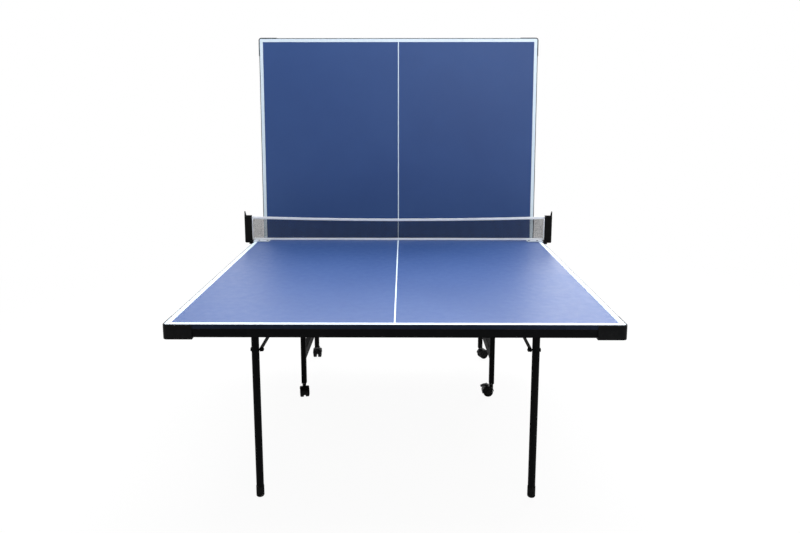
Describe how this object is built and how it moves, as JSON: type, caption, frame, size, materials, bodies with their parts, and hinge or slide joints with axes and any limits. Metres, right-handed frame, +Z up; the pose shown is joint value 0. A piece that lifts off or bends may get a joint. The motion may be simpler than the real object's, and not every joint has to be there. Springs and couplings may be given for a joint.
{
  "type": "table tennis table",
  "caption": "Folding table tennis table on a wheeled trolley, one half flat and one half upright behind a clamped net, with legs that fold on linked pivots.",
  "frame": {"origin": "on the floor, under the middle of the table's box as it stands in the picture", "axes": "+Z up, +Y from the flat half towards the upright half, +X to the right of someone facing the upright half"},
  "size_m": [1.634, 1.6792, 1.8389],
  "materials": {
    "board_top": "semi-gloss blue paint over particle board, white edge lines",
    "black_enamel": "gloss black powder coat on steel",
    "black_plastic": "moulded black plastic",
    "black_rubber": "matt black rubber",
    "zinc_steel": "zinc-plated steel",
    "caster_plastic": "moulded black nylon",
    "caster_tread": "black nylon wheel",
    "net_cord": "knotted dark nylon cord",
    "net_tape": "white woven tape"
  },
  "bodies": {
    "trolley": {"trolley_legs": "black_enamel", "trolley_leg_caps": "black_plastic", "trolley_side_rails": "black_enamel", "trolley_cross_tubes": "black_enamel", "fold_pivot_bolts": "zinc_steel", "link_pivot_bolts": "zinc_steel", "upright_bumpers": "black_rubber", "caster_sockets": "black_plastic"},
    "near_half": {"near_board": "board_top", "near_end_apron": "black_enamel", "near_side_aprons": "black_enamel", "near_corner_guards": "black_plastic", "near_frame_rails": "black_enamel", "near_cross_rails": "black_enamel", "near_hinge_plates": "black_enamel", "near_leg_bearings": "black_enamel", "net_mesh": "net_cord", "net_top_band": "net_tape", "net_bottom_band": "net_tape", "net_post_left": "black_plastic", "net_post_right": "black_plastic"},
    "near_legs": {"near_leg_left": "black_enamel", "near_leg_right": "black_enamel", "near_leg_crossbar": "black_enamel", "near_feet": "black_rubber", "near_leg_bolts": "black_enamel"},
    "near_links": {"near_link_left": "black_enamel", "near_link_right": "black_enamel"},
    "far_half": {"far_board": "board_top", "far_end_apron": "black_enamel", "far_side_aprons": "black_enamel", "far_corner_guards": "black_plastic", "far_frame_rails": "black_enamel", "far_cross_rails": "black_enamel", "far_hinge_plates": "black_enamel", "far_leg_bearings": "black_enamel"},
    "far_legs": {"far_leg_left": "black_enamel", "far_leg_right": "black_enamel", "far_leg_crossbar": "black_enamel", "far_feet": "black_rubber", "far_leg_bolts": "black_enamel"},
    "far_links": {"far_link_left": "black_enamel", "far_link_right": "black_enamel"},
    "clamp_screw_left": {"clamp_screw_left": "black_plastic"},
    "clamp_screw_right": {"clamp_screw_right": "black_plastic"},
    "caster_near_left": {"caster_near_left_hood": "caster_plastic", "caster_near_left_pins": "zinc_steel"},
    "wheels_near_left": {"caster_near_left_wheels": "caster_tread"},
    "caster_near_right": {"caster_near_right_hood": "caster_plastic", "caster_near_right_pins": "zinc_steel"},
    "wheels_near_right": {"caster_near_right_wheels": "caster_tread"},
    "brake_lever_near_right": {"brake_lever_near_right": "caster_plastic"},
    "caster_far_left": {"caster_far_left_hood": "caster_plastic", "caster_far_left_pins": "zinc_steel"},
    "wheels_far_left": {"caster_far_left_wheels": "caster_tread"},
    "brake_lever_far_left": {"brake_lever_far_left": "caster_plastic"},
    "caster_far_right": {"caster_far_right_hood": "caster_plastic", "caster_far_right_pins": "zinc_steel"},
    "wheels_far_right": {"caster_far_right_wheels": "caster_tread"}
  },
  "joints": [
    {"name": "near_fold", "type": "hinge", "parent": "trolley", "child": "near_half", "pos_m": [0, 0.2834, 0.715], "axis": [-1, 0, 0], "range_deg": [0, 88]},
    {"name": "near_leg_swing", "type": "hinge", "parent": "near_half", "child": "near_legs", "pos_m": [0, -0.5986, 0.715], "axis": [-1, 0, 0], "range_deg": [-88, 0]},
    {"name": "near_link_swing", "type": "hinge", "parent": "trolley", "child": "near_links", "pos_m": [0, 0.2834, 0.584], "axis": [-1, 0, 0], "range_deg": [0, 88]},
    {"name": "far_fold", "type": "hinge", "parent": "trolley", "child": "far_half", "pos_m": [0, 0.7834, 0.715], "axis": [1, 0, 0], "range_deg": [-88, 0]},
    {"name": "far_leg_swing", "type": "hinge", "parent": "far_half", "child": "far_legs", "pos_m": [0, 0.81418, 1.59646], "axis": [1, 0, 0], "range_deg": [0, 88]},
    {"name": "far_link_swing", "type": "hinge", "parent": "trolley", "child": "far_links", "pos_m": [0, 0.7834, 0.584], "axis": [1, 0, 0], "range_deg": [-88, 0]},
    {"name": "swivel_near_left", "type": "hinge", "parent": "trolley", "child": "caster_near_left", "pos_m": [-0.48, 0.2834, 0.063], "axis": [0, 0, 1], "continuous": true},
    {"name": "wheel_spin_near_left", "type": "hinge", "parent": "caster_near_left", "child": "wheels_near_left", "pos_m": [-0.47626, 0.26579, 0.025], "axis": [0.9781, 0.2079, 0], "continuous": true},
    {"name": "swivel_near_right", "type": "hinge", "parent": "trolley", "child": "caster_near_right", "pos_m": [0.48, 0.2834, 0.063], "axis": [0, 0, 1], "continuous": true},
    {"name": "wheel_spin_near_right", "type": "hinge", "parent": "caster_near_right", "child": "wheels_near_right", "pos_m": [0.462, 0.2834, 0.025], "axis": [0, -1, 0], "continuous": true},
    {"name": "brake_press_near_right", "type": "hinge", "parent": "caster_near_right", "child": "brake_lever_near_right", "pos_m": [0.456, 0.2834, 0.0585], "axis": [0, -1, 0], "range_deg": [0, 12]},
    {"name": "swivel_far_left", "type": "hinge", "parent": "trolley", "child": "caster_far_left", "pos_m": [-0.48, 0.7834, 0.063], "axis": [0, 0, 1], "continuous": true},
    {"name": "wheel_spin_far_left", "type": "hinge", "parent": "caster_far_left", "child": "wheels_far_left", "pos_m": [-0.48, 0.8014, 0.025], "axis": [-1, 0, 0], "continuous": true},
    {"name": "brake_press_far_left", "type": "hinge", "parent": "caster_far_left", "child": "brake_lever_far_left", "pos_m": [-0.48, 0.8074, 0.0585], "axis": [-1, 0, 0], "range_deg": [0, 12]},
    {"name": "swivel_far_right", "type": "hinge", "parent": "trolley", "child": "caster_far_right", "pos_m": [0.48, 0.7834, 0.063], "axis": [0, 0, 1], "continuous": true},
    {"name": "wheel_spin_far_right", "type": "hinge", "parent": "caster_far_right", "child": "wheels_far_right", "pos_m": [0.49631, 0.79101, 0.025], "axis": [-0.4226, 0.9063, 0], "continuous": true},
    {"name": "clamp_release_left", "type": "slide", "parent": "near_half", "child": "clamp_screw_left", "axis": [0, 0, -1], "range_m": [0, 0.016]},
    {"name": "clamp_release_right", "type": "slide", "parent": "near_half", "child": "clamp_screw_right", "axis": [0, 0, -1], "range_m": [0, 0.016]}
  ],
  "couplings": [
    {"joint": "near_leg_swing", "follows": "near_fold", "ratio": -1},
    {"joint": "near_link_swing", "follows": "near_fold", "ratio": 1},
    {"joint": "far_leg_swing", "follows": "far_fold", "ratio": -1},
    {"joint": "far_link_swing", "follows": "far_fold", "ratio": 1}
  ]
}
